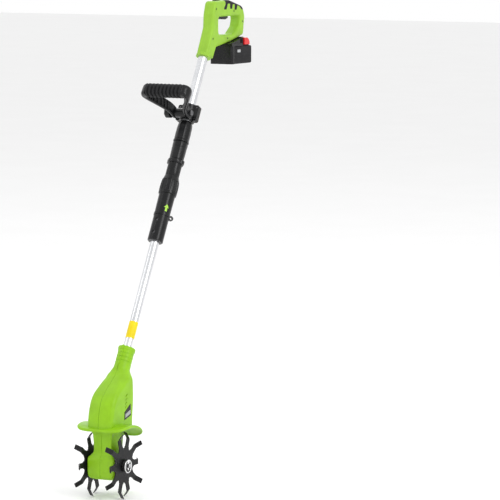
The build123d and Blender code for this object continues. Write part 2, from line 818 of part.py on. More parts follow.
def trigger():
    points = ((91, 124), (101, 124), (131, 120), (133, 108), (118, 104), (100, 105), (91, 112))
    blade = side_prism(points, -7, 7, 2)
    return at_handle(blade + bar(1.95, -11.5, 11.5, *TRIGGER_PIVOT))


def trigger_switch():
    body = slab(-9, 9, 96, 128, 135, 142)
    return at_handle(body + slab(-2.5, 2.5, 109, 115, 128, 136))


# ---------------------------------------------------------------- battery and dock

def battery_dock():
    front = slab(-37, 37, 104, 118, PACK_BOTTOM, 34)
    front = fillet(front.edges().filter_by(Axis.Z).group_by(Axis.Y)[0], 8)
    top = slab(-37, 37, 104, 166, PACK_TOP + RAIL_GAP, 35)
    wedge = side_prism(((104, 34), (104, 35.3), (135, 39.6), (166, 46.7), (166, 34)), -30, 30)
    body = front + top + wedge
    room = slab(-20.4, 20.4, 118, 170, 20, 32.4) + slab(-26.4, 26.4, 118, 170, 29.6, 32.4)
    body -= room
    for x in BLADES:
        body -= slab(x - 0.5, x + 0.5, 110, 120, 22, 28)
    return at_handle(body)


def dock_terminals():
    blades = [slab(x - 0.5, x + 0.5, 110, 140, 22, 28) for x in BLADES]
    return at_handle(Compound(blades))


def pack_tower():
    """Block that carries the latch buttons, its back rounded off."""
    line = ((172, PACK_TOP, 0), (172, 47, 3), (192, TOWER_TOP, 5), (215, TOWER_TOP, 22), (215, PACK_TOP, 0))
    return Location((-31, 0, 0)) * pull_x(rounded(line), 62)


def latch_room(side):
    x0 = 22 if side > 0 else -34
    return slab(x0, x0 + 12, 181.6, 220, 29.6, 60)


def pack_case():
    body = slab(-PACK_HALF, PACK_HALF, PACK_FRONT, PACK_BACK, PACK_BOTTOM, PACK_TOP)
    body = fillet(body.edges().filter_by(Axis.X), 5)
    body = fillet(body.edges().filter_by(Axis.Y), 4)
    rail = slab(-20, 20, PACK_FRONT + 4, 176, 20, 32)
    rail += slab(-26, 26, PACK_FRONT + 4, 164, 30, 32)
    return body, rail


def pack_whole():
    body, rail = pack_case()
    whole = body + rail + pack_tower()
    whole -= latch_room(1)
    whole -= latch_room(-1)
    whole -= slab(-33.5, 33.5, 120.9, PACK_BACK - 2.5, PACK_BOTTOM + 3, 20.2)
    for x in BLADES:
        whole -= slab(x - 2.5, x + 2.5, 115, 145, 21, 29.4)
    return whole


def pack_case_upper():
    return at_handle(pack_whole() & slab(-60, 60, 60, 260, PACK_SEAM, 100))


def pack_case_lower():
    return at_handle(pack_whole() & slab(-60, 60, 60, 260, -60, PACK_SEAM))


def pack_cells():
    cells = []
    for row in range(2):
        for index in range(5):
            cells.append(bar(CELL_R, -32, 32, 132 + 19 * index, -9.5 + 19 * row))
    return at_handle(Compound(cells))


def pack_latch(side):
    line = ((182, 30, 1), (213, 30, 1), (213, 50, 19), (182, 50, 1))
    x0 = 24.5 if side > 0 else -35.5
    button = Location((x0, 0, 0)) * pull_x(rounded(line), 11)
    return at_handle(fillet(button.edges().group_by(Axis.X)[-1 if side > 0 else 0], 0.8))


def latch_left():
    return pack_latch(-1)


def latch_right():
    return pack_latch(1)


def pack_label():
    plates = []
    for x0 in (-PACK_HALF - 0.3, PACK_HALF):
        plates.append(side_prism(((140, -10), (180, -10), (180, 8), (140, 8)), x0, x0 + 0.3, 2))
    return at_handle(Compound(plates))


PARTS = (
    tine_shaft, tine_star_left, tine_star_right, tine_spacers, hub_bosses, thrust_washers, linch_pins,
    linch_ring_left, linch_ring_right, worm_wheel, worm, motor_rotor, bearings, motor_can,
    gear_case_left, gear_case_right, gear_case_screws, grease_plug, shaft_bushes, guard,
    motor_housing_left, motor_housing_right, housing_screws, housing_badges,
    lower_tube, upper_tube, pole_label, end_collar, collar_screws, hanging_loop, lower_sleeve, lock_mark,
    twist_collar, mid_sleeve, release_button, window_sleeve, top_sleeve,
    clamp_front, clamp_rear, clamp_screws, front_handle_bow, front_grip_pad, pivot_bolt, clamp_knob,
    handle_left, handle_right, handle_collar, handle_screws, grip_overmould, lock_off_button,
    trigger, trigger_switch, battery_dock, dock_terminals,
    pack_case_upper, pack_case_lower, pack_cells, latch_left, latch_right, pack_label,
)

if __name__ == "__main__":
    os.makedirs("parts", exist_ok=True)
    for make in PARTS:
        export_step(make(), os.path.join("parts", make.__name__ + ".step"))
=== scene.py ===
"""Looks of the cordless mini cultivator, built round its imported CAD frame."""
import json
import math

import bmesh
import bpy
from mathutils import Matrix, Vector


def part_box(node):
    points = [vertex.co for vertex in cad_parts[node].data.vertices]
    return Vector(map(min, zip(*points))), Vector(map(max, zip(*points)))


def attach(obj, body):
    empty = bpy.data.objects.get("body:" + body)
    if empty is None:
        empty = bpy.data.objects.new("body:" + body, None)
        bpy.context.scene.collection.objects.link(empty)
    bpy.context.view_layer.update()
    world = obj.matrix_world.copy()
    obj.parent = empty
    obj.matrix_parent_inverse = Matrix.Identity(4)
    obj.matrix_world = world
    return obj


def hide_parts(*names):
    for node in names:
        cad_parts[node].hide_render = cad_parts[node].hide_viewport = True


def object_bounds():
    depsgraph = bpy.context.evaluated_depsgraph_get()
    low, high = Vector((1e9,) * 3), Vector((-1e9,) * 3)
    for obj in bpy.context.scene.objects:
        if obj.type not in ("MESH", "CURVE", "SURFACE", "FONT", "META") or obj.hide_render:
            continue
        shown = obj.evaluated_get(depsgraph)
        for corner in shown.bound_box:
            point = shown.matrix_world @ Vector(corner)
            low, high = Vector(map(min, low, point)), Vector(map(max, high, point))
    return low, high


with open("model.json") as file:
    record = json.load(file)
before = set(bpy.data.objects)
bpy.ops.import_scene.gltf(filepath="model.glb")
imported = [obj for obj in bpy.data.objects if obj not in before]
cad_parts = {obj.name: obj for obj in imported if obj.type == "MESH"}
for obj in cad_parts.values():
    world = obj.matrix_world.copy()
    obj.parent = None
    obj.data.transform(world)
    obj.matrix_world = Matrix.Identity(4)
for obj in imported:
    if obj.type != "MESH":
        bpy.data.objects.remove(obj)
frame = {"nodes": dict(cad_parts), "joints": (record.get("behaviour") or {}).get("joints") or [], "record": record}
cad_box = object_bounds()
NODES = frame["nodes"]


# ---------------------------------------------------------------- materials

class Graph:
    """A small helper for writing a material's nodes in few lines."""

    def __init__(self, name):
        self.material = bpy.data.materials.new(name)
        self.material.use_nodes = True
        self.tree = self.material.node_tree
        self.shader = self.tree.nodes["Principled BSDF"]
        self.coords = self.add("ShaderNodeTexCoord").outputs["Object"]

    def add(self, kind, **values):
        node = self.tree.nodes.new(kind)
        for key, value in values.items():
            setattr(node, key, value)
        return node

    def link(self, a, b):
        self.tree.links.new(a, b)

    def mapped(self, scale, rotation=(0, 0, 0)):
        node = self.add("ShaderNodeMapping")
        node.inputs["Scale"].default_value = scale
        node.inputs["Rotation"].default_value = rotation
        self.link(self.coords, node.inputs["Vector"])
        return node.outputs["Vector"]

    def noise(self, scale, detail=4.0, vector=None, roughness=0.55):
        node = self.add("ShaderNodeTexNoise")
        node.inputs["Scale"].default_value = scale
        node.inputs["Detail"].default_value = detail
        node.inputs["Roughness"].default_value = roughness
        self.link(vector or self.coords, node.inputs["Vector"])
        return node.outputs["Fac"]

    def spots(self, scale, vector=None):
        node = self.add("ShaderNodeTexVoronoi")
        node.inputs["Scale"].default_value = scale
        self.link(vector or self.coords, node.inputs["Vector"])
        return node.outputs["Distance"]

    def ramp(self, source, stops):
        node = self.add("ShaderNodeValToRGB")
        ramp = node.color_ramp
        while len(ramp.elements) < len(stops):
            ramp.elements.new(0.5)
        for element, (place, colour) in zip(ramp.elements, stops):
            element.position = place
            element.color = (*colour, 1) if len(colour) == 3 else colour
        self.link(source, node.inputs["Fac"])
        return node.outputs["Color"]

    def remap(self, source, low, high, start=0.0, end=1.0):
        node = self.add("ShaderNodeMapRange")
        node.inputs["From Min"].default_value = start
        node.inputs["From Max"].default_value = end
        node.inputs["To Min"].default_value = low
        node.inputs["To Max"].default_value = high
        self.link(source, node.inputs["Value"])
        return node.outputs["Result"]

    def mix(self, factor, a, b):
        node = self.add("ShaderNodeMix", data_type="RGBA")
        self.link(factor, node.inputs["Factor"])
        for socket, value in ((node.inputs[6], a), (node.inputs[7], b)):
            if hasattr(value, "is_output"):
                self.link(value, socket)
            else:
                socket.default_value = (*value, 1)
        return node.outputs[2]

    def bump(self, height, strength, distance, normal=None):
        node = self.add("ShaderNodeBump")
        node.inputs["Strength"].default_value = strength
        node.inputs["Distance"].default_value = distance
        self.link(height, node.inputs["Height"])
        if normal is not None:
            self.link(normal, node.inputs["Normal"])
        return node.outputs["Normal"]

    def soft_edges(self, radius):
        node = self.add("ShaderNodeBevel", samples=6)
        node.inputs["Radius"].default_value = radius
        return node.outputs["Normal"]

    def edge_mask(self, radius, low, high):
        """1 on outer edges, 0 on flats."""
        rounded = self.soft_edges(radius)
        plain = self.add("ShaderNodeNewGeometry").outputs["Normal"]
        dot = self.add("ShaderNodeVectorMath", operation="DOT_PRODUCT")
        self.link(rounded, dot.inputs[0])
        self.link(plain, dot.inputs[1])
        return self.remap(dot.outputs["Value"], 1.0, 0.0, low, high)

    def set(self, **values):
        for key, value in values.items():
            socket = self.shader.inputs[key.replace("_", " ")]
            if hasattr(value, "is_output"):
                self.link(value, socket)
            else:
                socket.default_value = value
        return self


def moulded(name, colour, rough=0.42, grain=2600.0, grain_depth=0.00006, edge=0.0006, coat=0.0, tint=0.12,
            shine=0.5):
    """Injection-moulded plastic: faint flow mottling, spark-eroded grain, softened edges and a painted edge
    highlight.
    """
    g = Graph(name)
    cloud = g.noise(28.0, 3.0)
    dark = tuple(c * (1 - tint) for c in colour)
    light = tuple(min(1.0, c * (1 + tint * 0.6) + 0.002) for c in colour)
    base = g.ramp(cloud, [(0.35, dark), (0.65, light)])
    # outer edges painted lighter than the flats: a painted edge highlight
    edges = g.edge_mask(edge * 1.6, 0.80, 0.985)
    edge_highlight = tuple(min(1.0, c * 1.25 + 0.012) for c in colour)
    base = g.mix(edges, base, edge_highlight)
    fine = g.noise(grain, 2.0)
    roughness = g.remap(g.noise(60.0, 4.0), rough - 0.05, rough + 0.07, 0.3, 0.7)
    normal = g.bump(fine, 0.25, grain_depth, g.soft_edges(edge))
    g.set(Base_Color=base, Roughness=roughness, Normal=normal)
    g.set(IOR=1.47, Coat_Weight=coat, Coat_Roughness=0.25, Specular_IOR_Level=shine)
    return g.material


def textured(name, colour, rough=0.6, scale=900.0, depth=0.00025):
    """Coarse leather-like moulded texture on the pack and grips."""
    g = Graph(name)
    pebble = g.spots(scale)
    wear = g.noise(45.0, 5.0)
    high = tuple(min(1.0, c * 1.7 + 0.008) for c in colour)
    base = g.mix(g.remap(pebble, 0.0, 0.55, 0.15, 0.7), colour, high)
    # outer edges painted lighter than the flats: a painted edge highlight
    edges = g.edge_mask(0.0012, 0.80, 0.985)
    base = g.mix(edges, base, tuple(c * 2.2 + 0.015 for c in colour))
    normal = g.bump(pebble, 0.6, depth, g.soft_edges(0.0007))
    g.set(Base_Color=base, Roughness=g.remap(wear, rough - 0.08, rough + 0.1, 0.3, 0.7), Normal=normal)
    g.set(IOR=1.5, Specular_IOR_Level=0.2)
    return g.material


def metal(name, colour, rough, stretch=(1, 1, 1), turn=(0, 0, 0), line=900.0, depth=0.00002, dirt=0.0):
    """Bare metal with drawn or ground lines along one direction."""
    g = Graph(name)
    lines = g.noise(line, 3.0, g.mapped(stretch, turn))
    patches = g.noise(18.0, 5.0)
    dull = tuple(c * 0.9 for c in colour)
    bright = tuple(min(1, c * 1.05) for c in colour)
    shade = g.ramp(patches, [(0.3, dull), (0.7, bright)])
    if dirt > 0:
        shade = g.mix(g.remap(g.noise(90.0, 8.0), 0.0, dirt, 0.45, 0.75), shade, (0.09, 0.07, 0.05))
    normal = g.bump(lines, 0.35, depth, g.soft_edges(0.0004))
    ground = g.remap(lines, rough - 0.06, rough + 0.08, 0.3, 0.7)
    g.set(Base_Color=shade, Metallic=1.0, Roughness=ground, Normal=normal)
    return g.material


def painted_steel(name):
    """Black stoving paint with a faint orange peel, rubbed to steel on its edges."""
    g = Graph(name)
    peel = g.noise(420.0, 2.0)
    edges = g.edge_mask(0.0011, 0.72, 0.96)
    chips = g.remap(g.noise(260.0, 6.0), 0.0, 1.0, 0.42, 0.58)
    bare = g.add("ShaderNodeMath", operation="MULTIPLY")
    g.link(edges, bare.inputs[0])
    g.link(chips, bare.inputs[1])
    paint = g.ramp(g.noise(35.0, 3.0), [(0.3, (0.006, 0.006, 0.007)), (0.7, (0.013, 0.013, 0.014))])
    colour = g.mix(bare.outputs[0], paint, (0.34, 0.34, 0.35))
    g.set(Base_Color=colour, Metallic=g.remap(bare.outputs[0], 0.0, 0.9))
    g.set(Roughness=g.remap(g.noise(120.0, 4.0), 0.3, 0.46, 0.3, 0.7))
    g.set(Normal=g.bump(peel, 0.18, 0.00012, g.soft_edges(0.0005)), Specular_IOR_Level=0.15)
    return g.material


LEAN = math.atan2(frame["joints"][0]["axis"][1], frame["joints"][0]["axis"][2])
POLE = Vector((0, math.sin(LEAN), math.cos(LEAN)))
HEAD_GREEN = (0.255, 0.52, 0.006)
HANDLE_GREEN = (0.28, 0.52, 0.035)
BLACK = (0.007, 0.0072, 0.008)

MATERIALS = {
    "green_head": moulded("green_head", HEAD_GREEN, 0.40, tint=0.07, shine=0.35),
    "green_handle": moulded("green_handle", HANDLE_GREEN, 0.44, tint=0.06, shine=0.35),
    "green_mark": moulded("green_mark", (0.4, 0.72, 0.06), 0.5),
    "black_plastic": moulded("black_plastic", BLACK, 0.24, tint=0.25, shine=0.32),
    "black_textured": textured("black_textured", (0.007, 0.007, 0.008)),
    "dark_grip": textured("dark_grip", (0.011, 0.011, 0.012), 0.62, 1300.0, 0.00015),
    "clamp_grey": moulded("clamp_grey", (0.022, 0.018, 0.015), 0.4, tint=0.2, shine=0.4),
    "red_button": moulded("red_button", (0.72, 0.006, 0.006), 0.3, coat=0.2),
    "aluminium_tube": metal("aluminium_tube", (0.78, 0.79, 0.81), 0.24, (1, 1, 0.02), (LEAN, 0, 0), 700.0),
    "tine_steel": painted_steel("tine_steel"),
    "bright_steel": metal("bright_steel", (0.78, 0.78, 0.79), 0.14, line=300.0, depth=0.00001),
    "screw_steel": metal("screw_steel", (0.16, 0.16, 0.165), 0.35),
    "shaft_steel": metal("shaft_steel", (0.5, 0.5, 0.51), 0.28, (0.05, 1, 1)),
    "bronze": metal("bronze", (0.62, 0.42, 0.2), 0.35),
    "motor_steel": metal("motor_steel", (0.5, 0.5, 0.52), 0.35),
    "copper_laminate": metal("copper_laminate", (0.45, 0.3, 0.22), 0.4, (0.02, 0.02, 1), line=1500.0),
    "cell_wrap": moulded("cell_wrap", (0.05, 0.16, 0.36), 0.3, coat=0.5),
    "yellow_label": moulded("yellow_label", (0.80, 0.62, 0.008), 0.4, shine=0.3),
    "grey_label": moulded("grey_label", (0.42, 0.43, 0.44), 0.45),
    "terminal_copper": metal("terminal_copper", (0.8, 0.6, 0.32), 0.25),
}


def dress_cad_nodes():
    """Give every CAD node its material."""
    for row in frame["record"]["subparts"]:
        node = NODES[row["node"]]
        node.data.materials.clear()
        node.data.materials.append(MATERIALS[row["material_slot"]])


dress_cad_nodes()


# ---------------------------------------------------------------- mesh tools

MM = 0.001
ORIGIN_STATION = 816.0
SEAM = 0.15
SEAM_CHAMFER = 0.7
FACE_START = 0.9
CROWN_DEPTH = 30
STEPS = 5
shaft_lo, shaft_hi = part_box("tine_shaft")
HEAD = (shaft_lo + shaft_hi) / 2
POLE_FRONT = Vector((0, math.cos(LEAN), -math.sin(LEAN)))


def head(x, y, z):
    """A point in millimetres from the centre of the tine shaft."""
    return HEAD + Vector((x, y, z)) * MM


def pole(x, y, station):
    """A point beside the pole: x to the right, y rearwards, station up the pole from the neck's rim."""
    return (Vector((x, 0, 0)) + POLE_FRONT * y + POLE * (station - ORIGIN_STATION)) * MM


def smooth_rows(rows, steps=STEPS):
    """Catmull-Rom rows of numbers between the given ones."""
    out = []
    for i in range(len(rows) - 1):
        p0, p1, p2 = rows[max(i - 1, 0)], rows[i], rows[i + 1]
        p3 = rows[min(i + 2, len(rows) - 1)]
        for k in range(steps):
            t = k / steps
            out.append([0.5 * (2 * b + (c - a) * t + (2 * a - 5 * b + 4 * c - d) * t * t
                               + (3 * b - a - 3 * c + d) * t ** 3) for a, b, c, d in zip(p0, p1, p2, p3)])
    out.append(list(rows[-1]))
    return out


def reach(c, s, power):
    """How far out a superellipse lies in the direction whose cosine and sine are c and s."""
    return (abs(c) ** power + abs(s) ** power) ** (-1 / power)


def quarter(x, y, radius, start):
    """Eight points of a quarter turn about x, y, from just past the start angle in degrees."""
    turns = [math.radians(start + 90 * k / 8) for k in range(1, 9)]
    return [(x + radius * math.cos(a), y + radius * math.sin(a)) for a in turns]


def skin(name, rings, closed=True, caps=(False, False), flip=False):
    """A mesh of quads through rings of points."""
    count = len(rings[0])
    points = [p for ring in rings for p in ring]
    faces = []
    for i in range(len(rings) - 1):
        for j in range(count if closed else count - 1):
            k = (j + 1) % count
            face = (i * count + j, i * count + k, (i + 1) * count + k, (i + 1) * count + j)
            faces.append(face[::-1] if flip else face)
    if caps[0]:
        faces.append(tuple(range(count)) if flip else tuple(reversed(range(count))))
    if caps[1]:
        last = range((len(rings) - 1) * count, len(rings) * count)
        faces.append(tuple(reversed(last)) if flip else tuple(last))
    mesh = bpy.data.meshes.new(name)
    mesh.from_pydata([tuple(p) for p in points], [], faces)
    return mesh


def tidy_mesh(mesh, merge=0.00002):
    """Merge doubled points and turn every face outwards."""
    bm = bmesh.new()
    bm.from_mesh(mesh)
    bmesh.ops.remove_doubles(bm, verts=bm.verts, dist=merge)
    bmesh.ops.dissolve_degenerate(bm, edges=bm.edges, dist=merge / 4)
    bmesh.ops.recalc_face_normals(bm, faces=bm.faces)
    bm.to_mesh(mesh)
    bm.free()


def piece(name, mesh, slot, body, stands_for=(), angle=35):
    """Put a mesh in the scene as a finished piece of the object."""
    obj = bpy.data.objects.new(name, mesh)
    bpy.context.collection.objects.link(obj)
    mesh.materials.append(MATERIALS[slot])
    mesh.shade_smooth()
    mesh.set_sharp_from_angle(angle=math.radians(angle))
    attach(obj, body)
    if stands_for:
        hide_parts(*stands_for)
    return obj


def bake_modifiers(obj):
    """Replace the object's mesh by what its modifiers make of it."""
    bpy.context.view_layer.update()
    made = bpy.data.meshes.new_from_object(obj.evaluated_get(bpy.context.evaluated_depsgraph_get()))
    obj.modifiers.clear()
    obj.data = made


def solidify(obj, thickness):
    """Give an open surface a wall on its inner side."""
    rule = obj.modifiers.new("wall", "SOLIDIFY")
    rule.thickness = thickness
    rule.offset = -1
    rule.use_even_offset = False


def prism_points(outline, x0, x1, place):
    """Rings of an outline in Y and Z, at x0 and x1."""
    return [[place(x, y, z) for y, z in outline] for x in (x0, x1)]


def cut(obj, meshes):
    """Cut closed meshes out of a piece."""
    for mesh in meshes:
        tool = bpy.data.objects.new("cutter", mesh)
        bpy.context.collection.objects.link(tool)
        rule = obj.modifiers.new("cut", "BOOLEAN")
        rule.operation = "DIFFERENCE"
        rule.solver = "EXACT"
        rule.object = tool
        bake_modifiers(obj)
        bpy.data.objects.remove(tool)


# ---------------------------------------------------------------- motor housing

# Front Y, front Z, rear Y, rear Z, half width, front corner, rear corner, crown of the front.
# Y and Z are from the tine shaft, in millimetres.
BODY_SECTIONS = (
    (-46, 100, 67, 100, 39.5, 7, 8, 8),
    (-46, 122, 68, 120, 39.5, 7, 8, 8),
    (-41, 148, 70, 140, 39.5, 7, 8, 8),
    (-32, 174, 72, 160, 39.5, 8, 8, 8),
    (-17, 194, 74, 178, 39.5, 10, 9, 7),
    (6, 213, 76, 197, 38.5, 15, 10, 5),
    (26, 229.5, 79, 213, 37, 22, 12, 3),
    (38, 240.5, 82, 226, 35, 27, 14, 1),
    (46.5, 250, 85.5, 236, 29.5, 25, 18, 0),
)
NECK_GROOVES = (-20.0, -31.5, -43.0)
NECK_START = -62.0
NECK_R = 22.6
NECK_RIM_R = 24.1
NECK_BORE_R = 13.2
SHELL_WALL = 2.2
SHELL_ANGLE = 40
# Y and Z of each vent slot's middle
VENTS = ((33, 188), (31, 177.5), (29, 167), (27, 156.5))
VENT_LONG = 13
VENT_WIDE = 2.6
VENT_TURN = math.radians(34)


def half_section(front, rear, half, front_corner, rear_corner, crown, side):
    """Half of a rounded box seen in plan, from the front seam round one side to the rear seam."""
    deep = (Vector(rear) - Vector(front)).length
    along = (Vector(rear) - Vector(front)) / deep
    front_corner = min(front_corner, half * 0.99, deep * 0.495)
    rear_corner = min(rear_corner, half * 0.99, deep * 0.495)
    side_long = deep - rear_corner - front_corner
    flat = [(SEAM, SEAM_CHAMFER), (SEAM + SEAM_CHAMFER, 0.0)]
    flat += [(FACE_START + (half - front_corner - FACE_START) * k / 6, 0.0) for k in range(1, 7)]
    flat += quarter(half - front_corner, front_corner, front_corner, -90)
    flat += [(half, front_corner + side_long * k / 9) for k in range(1, 10)]
    flat += quarter(half - rear_corner, deep - rear_corner, rear_corner, 0)
    flat += [(half - rear_corner - (half - rear_corner - FACE_START) * k / 5, deep) for k in range(1, 6)]
    flat += [(SEAM + SEAM_CHAMFER, deep), (SEAM, deep - SEAM_CHAMFER)]
    ring = []
    for x, v in flat:
        push = crown * (1 - (x / half) ** 2) * max(0.0, 1 - v / CROWN_DEPTH)
        y, z = Vector(front) + along * (v - push)
        ring.append((side * x, y, z))
    return ring


def body_rings(side):
    """Rings up one half of the housing's body."""
    rings = []
    for row in smooth_rows(BODY_SECTIONS):
        ring = half_section(row[0:2], row[2:4], *row[4:8], side)
        rings.append([head(*p) for p in ring])
    return rings


def neck_profile():
    """Station and radius up the grooved neck, over its rim and down into its bore."""
    groove_r = NECK_R - 1.1
    rows = [(NECK_START, NECK_R + 0.6), (-56, NECK_R + 0.2), (-50, NECK_R)]
    groove_shape = ((-1.6, NECK_R), (-1.1, groove_r), (1.1, groove_r), (1.6, NECK_R))
    for groove in reversed(NECK_GROOVES):
        rows += [(groove + shift, radius) for shift, radius in groove_shape]
    rim = [(-10, NECK_R + 0.2), (-9, NECK_RIM_R), (-1, NECK_RIM_R), (0, NECK_RIM_R - 0.9)]
    return rows + rim + [(0, NECK_BORE_R), (-12, NECK_BORE_R)]


def neck_rings(side):
    """Rings up one half of the neck."""
    rings = []
    for station, radius in neck_profile():
        ring = half_section((-radius, 0), (radius, 0), radius, radius, radius, 0, side)
        rings.append([pole(x, y, station) for x, y, _ in ring])
    return rings


def slot_cutter(y, z, long, wide, turn, x0, x1):
    """A round-ended slot through the side wall."""
    outline = []
    for end in (1, -1):
        for k in range(9):
            a = math.radians(-90 + 180 * k / 8) + (0 if end > 0 else math.pi)
            u = end * (long - wide) / 2 + wide / 2 * math.cos(a)
            v = wide / 2 * math.sin(a)
            rearwards = u * math.cos(turn) - v * math.sin(turn)
            upwards = u * math.sin(turn) + v * math.cos(turn)
            outline.append((y + rearwards, z + upwards))
    mesh = skin("slot", prism_points(outline, x0, x1, head), caps=(True, True))
    tidy_mesh(mesh)
    return mesh


def motor_housing(side, node):
    """One half of the housing: a thin shell with vent slots in its side."""
    mesh = skin(node, body_rings(side) + neck_rings(side), closed=False, flip=side < 0)
    obj = piece(node + "_shell", mesh, "green_head", "lower_pole", (node,), SHELL_ANGLE)
    solidify(obj, SHELL_WALL * MM)
    bake_modifiers(obj)
    inner, outer = side * 30, side * 45
    cut(obj, [slot_cutter(y, z, VENT_LONG, VENT_WIDE, VENT_TURN, inner, outer) for y, z in VENTS])
    obj.data.set_sharp_from_angle(angle=math.radians(SHELL_ANGLE))


motor_housing(-1, "motor_housing_left")
motor_housing(1, "motor_housing_right")


# ---------------------------------------------------------------- badges

def plate(name, outline, x0, x1, edge, slot, body, place, stands_for=()):
    """A thin plate with bevelled edges, its outline in Y and Z."""
    mesh = skin(name, prism_points(outline, x0, x1, place), caps=(True, True))
    tidy_mesh(mesh)
    obj = piece(name, mesh, slot, body, stands_for)
    rule = obj.modifiers.new("edge", "BEVEL")
    rule.width = edge * MM
    rule.segments = 3
    return obj


BADGE = ((19.5, 121), (54.5, 130.5), (52.5, 162.5), (20.5, 142.5))
BADGE_BAND = ((23.5, 126.5), (51.5, 135.5), (51, 146), (24, 137))
BADGE_FOOT = 39.2
BADGE_FACE = 40.4
BAND_FOOT = 40.2
BAND_FACE = 40.7


def badge(side, word, stands_for):
    """Blank name badge with a lighter band across it."""
    plate("badge_" + word, BADGE, side * BADGE_FOOT, side * BADGE_FACE, 0.5, "black_plastic",
          "lower_pole", head, stands_for)
    plate("badge_band_" + word, BADGE_BAND, side * BAND_FOOT, side * BAND_FACE, 0.2, "grey_label",
          "lower_pole", head)


badge(1, "right", ("housing_badges",))
badge(-1, "left", ())


# ---------------------------------------------------------------- wheel guard

# Y and Z along the middle of the sheet
GUARD_LINE = ((-62, 101), (-50, 105), (-38, 108), (-20, 110.5), (-5, 111), (10, 110), (20, 108), (35, 103),
              (51, 95), (68, 82.5), (80, 70))
GUARD_HALF = 79.5
GUARD_MIDDLE = 9.0
GUARD_DEEP = 71.0
GUARD_INNER_HALF = 34.0
GUARD_INNER_DEEP = 48.0
GUARD_CORNERS = 4
SHEET_HALF = 1.5
LIP = 3.9
LIP_THINNER = 1.6


def guard_height(y):
    """Height of the sheet's middle at y."""
    rows = smooth_rows(GUARD_LINE, 8)
    for a, b in zip(rows, rows[1:]):
        if y <= b[0]:
            return a[1] + (b[1] - a[1]) * (y - a[0]) / (b[0] - a[0])
    return rows[-1][1]


def guard_rings():
    """Rings round the guard: top surface outwards, over a thick rolled lip and back underneath."""
    rings = []
    count = 160
    for i in range(count + 1):
        a = 2 * math.pi * i / count
        c, s = math.cos(a), math.sin(a)
        squared = reach(c, s, GUARD_CORNERS)
        outer = Vector((GUARD_HALF * c * squared, GUARD_DEEP * s * squared))
        inner = Vector((GUARD_INNER_HALF * c * squared, GUARD_INNER_DEEP * s * squared))
        out = (outer - inner).normalized()
        lip = LIP if outer.y < 25 else LIP - LIP_THINNER * min(1.0, (outer.y - 25) / 30)
        sheet = outer - out * (2.2 * lip) - inner
        profile = [(inner + sheet * (k / 7), SHEET_HALF) for k in range(8)]
        for k in range(11):
            turn = math.radians(100 - 220 * k / 10)
            profile.append((outer - out * lip * (1 - math.cos(turn)), 1.7 - lip + lip * math.sin(turn)))
        profile += [(inner + sheet * (k / 7), -SHEET_HALF) for k in range(7, -1, -1)]
        ring = []
        for flat, rise in profile:
            y = max(GUARD_LINE[0][0], min(GUARD_LINE[-1][0], flat.y + GUARD_MIDDLE))
            ring.append(head(flat.x, flat.y + GUARD_MIDDLE, guard_height(y) + rise))
        rings.append(ring)
    return rings


def wheel_guard():
    """The guard as one closed sheet with a rolled lip."""
    mesh = skin("guard_shell", guard_rings())
    tidy_mesh(mesh)
    piece("guard_shell", mesh, "green_head", "lower_pole", ("guard",), 50)


wheel_guard()


# ---------------------------------------------------------------- gear case

# Z, half width, front Y, rear Y, corner, depth of the side groove
CASE_SECTIONS = (
    (104, 38.5, -44, 42, 9, 0),
    (95, 34, -39.5, 38, 8, 0),
    (85, 30.5, -36.5, 35.5, 7, 2),
    (66, 28.5, -35, 34.5, 6, 4.5),
    (46, 27.5, -35, 34.5, 6, 4.5),
    (36, 29, -35.5, 35, 6, 3),
    (29, 35, -38, 37, 7, 0),
    (22, 42, -42.5, 39.5, 8, 0),
    (14, 43.4, -44, 40.5, 8, 0),
    (-18, 43.4, -44, 40.5, 8, 0),
    (-29, 42.5, -43, 39.5, 9, 0),
    (-35.5, 38.5, -39, 35.5, 9, 0),
    (-39, 30, -31, 27, 8, 0),
)
CASE_CROWN = 1.2
GROOVE_Y = -20
GROOVE_HALF = 5.5


def case_rings(side):
    """Rings down one half of the gear case, with an upright groove in its side."""
    rings = []
    for z, half, front, rear, corner, groove in smooth_rows(CASE_SECTIONS):
        ring = []
        for x, y, up in half_section((front, z), (rear, z), half, corner, corner, CASE_CROWN, side):
            depth = groove * math.exp(-((y - GROOVE_Y) / GROOVE_HALF) ** 4) if abs(x) > half - 1 else 0
            ring.append(head(x - side * depth, y, up))
        rings.append(ring)
    return rings


def gear_case(side, node):
    """One closed half of the gear case."""
    closed = skin(node, case_rings(side), caps=(True, True))
    tidy_mesh(closed)
    piece(node + "_shell", closed, "green_head", "lower_pole", (node,), 40)


gear_case(-1, "gear_case_left")
gear_case(1, "gear_case_right")


# ---------------------------------------------------------------- front handle

BOW_TIP = math.radians(7.0)
CLAMP_STATION = 715.0
PIVOT_Y = -36.0
PIVOT_Z = -14.0
HOLLOW = 3.4
FLANGE = 3.2
RIB_HALF = 1.1
RIB_SLANT = 5.0
GRIP_HALF = 57.5
GRIP_Y = -114.0
GRIP_DEEP = 17.6
GRIP_HIGH = 18.2
GROOVE_PITCH = 12.0
GROOVES_EACH_SIDE = 4
# x, y from the pivot, half width across, half height
BOW_PATH = (
    (22.9, 13, 4.9, 11),
    (23, 4, 4.9, 14.2),
    (23.1, -14, 4.9, 14.8),
    (28, -34, 5.4, 14.8),
    (39, -53, 6, 15),
    (53, -75, 6.8, 15.5),
    (62.5, -91, 8, 16),
    (66.5, -104, 9.5, 17),
    (63, -112, 12, 17.6),
    (56, -114, 15.5, 17.8),
)


def bow_point(x, y, z):
    """A point about the front handle's pivot: y away from it, z up the pole, tipped as it rests."""
    c, s = math.cos(-BOW_TIP), math.sin(-BOW_TIP)
    return pole(x, PIVOT_Y + y * c - z * s, CLAMP_STATION + PIVOT_Z + y * s + z * c)


def bow_axes(before, after):
    """Unit vectors along one arm of the bow and outwards across it."""
    along = Vector((after[0] - before[0], after[1] - before[1])).normalized()
    across = Vector((-along.y, along.x))
    return along, -across if across.x < 0 else across


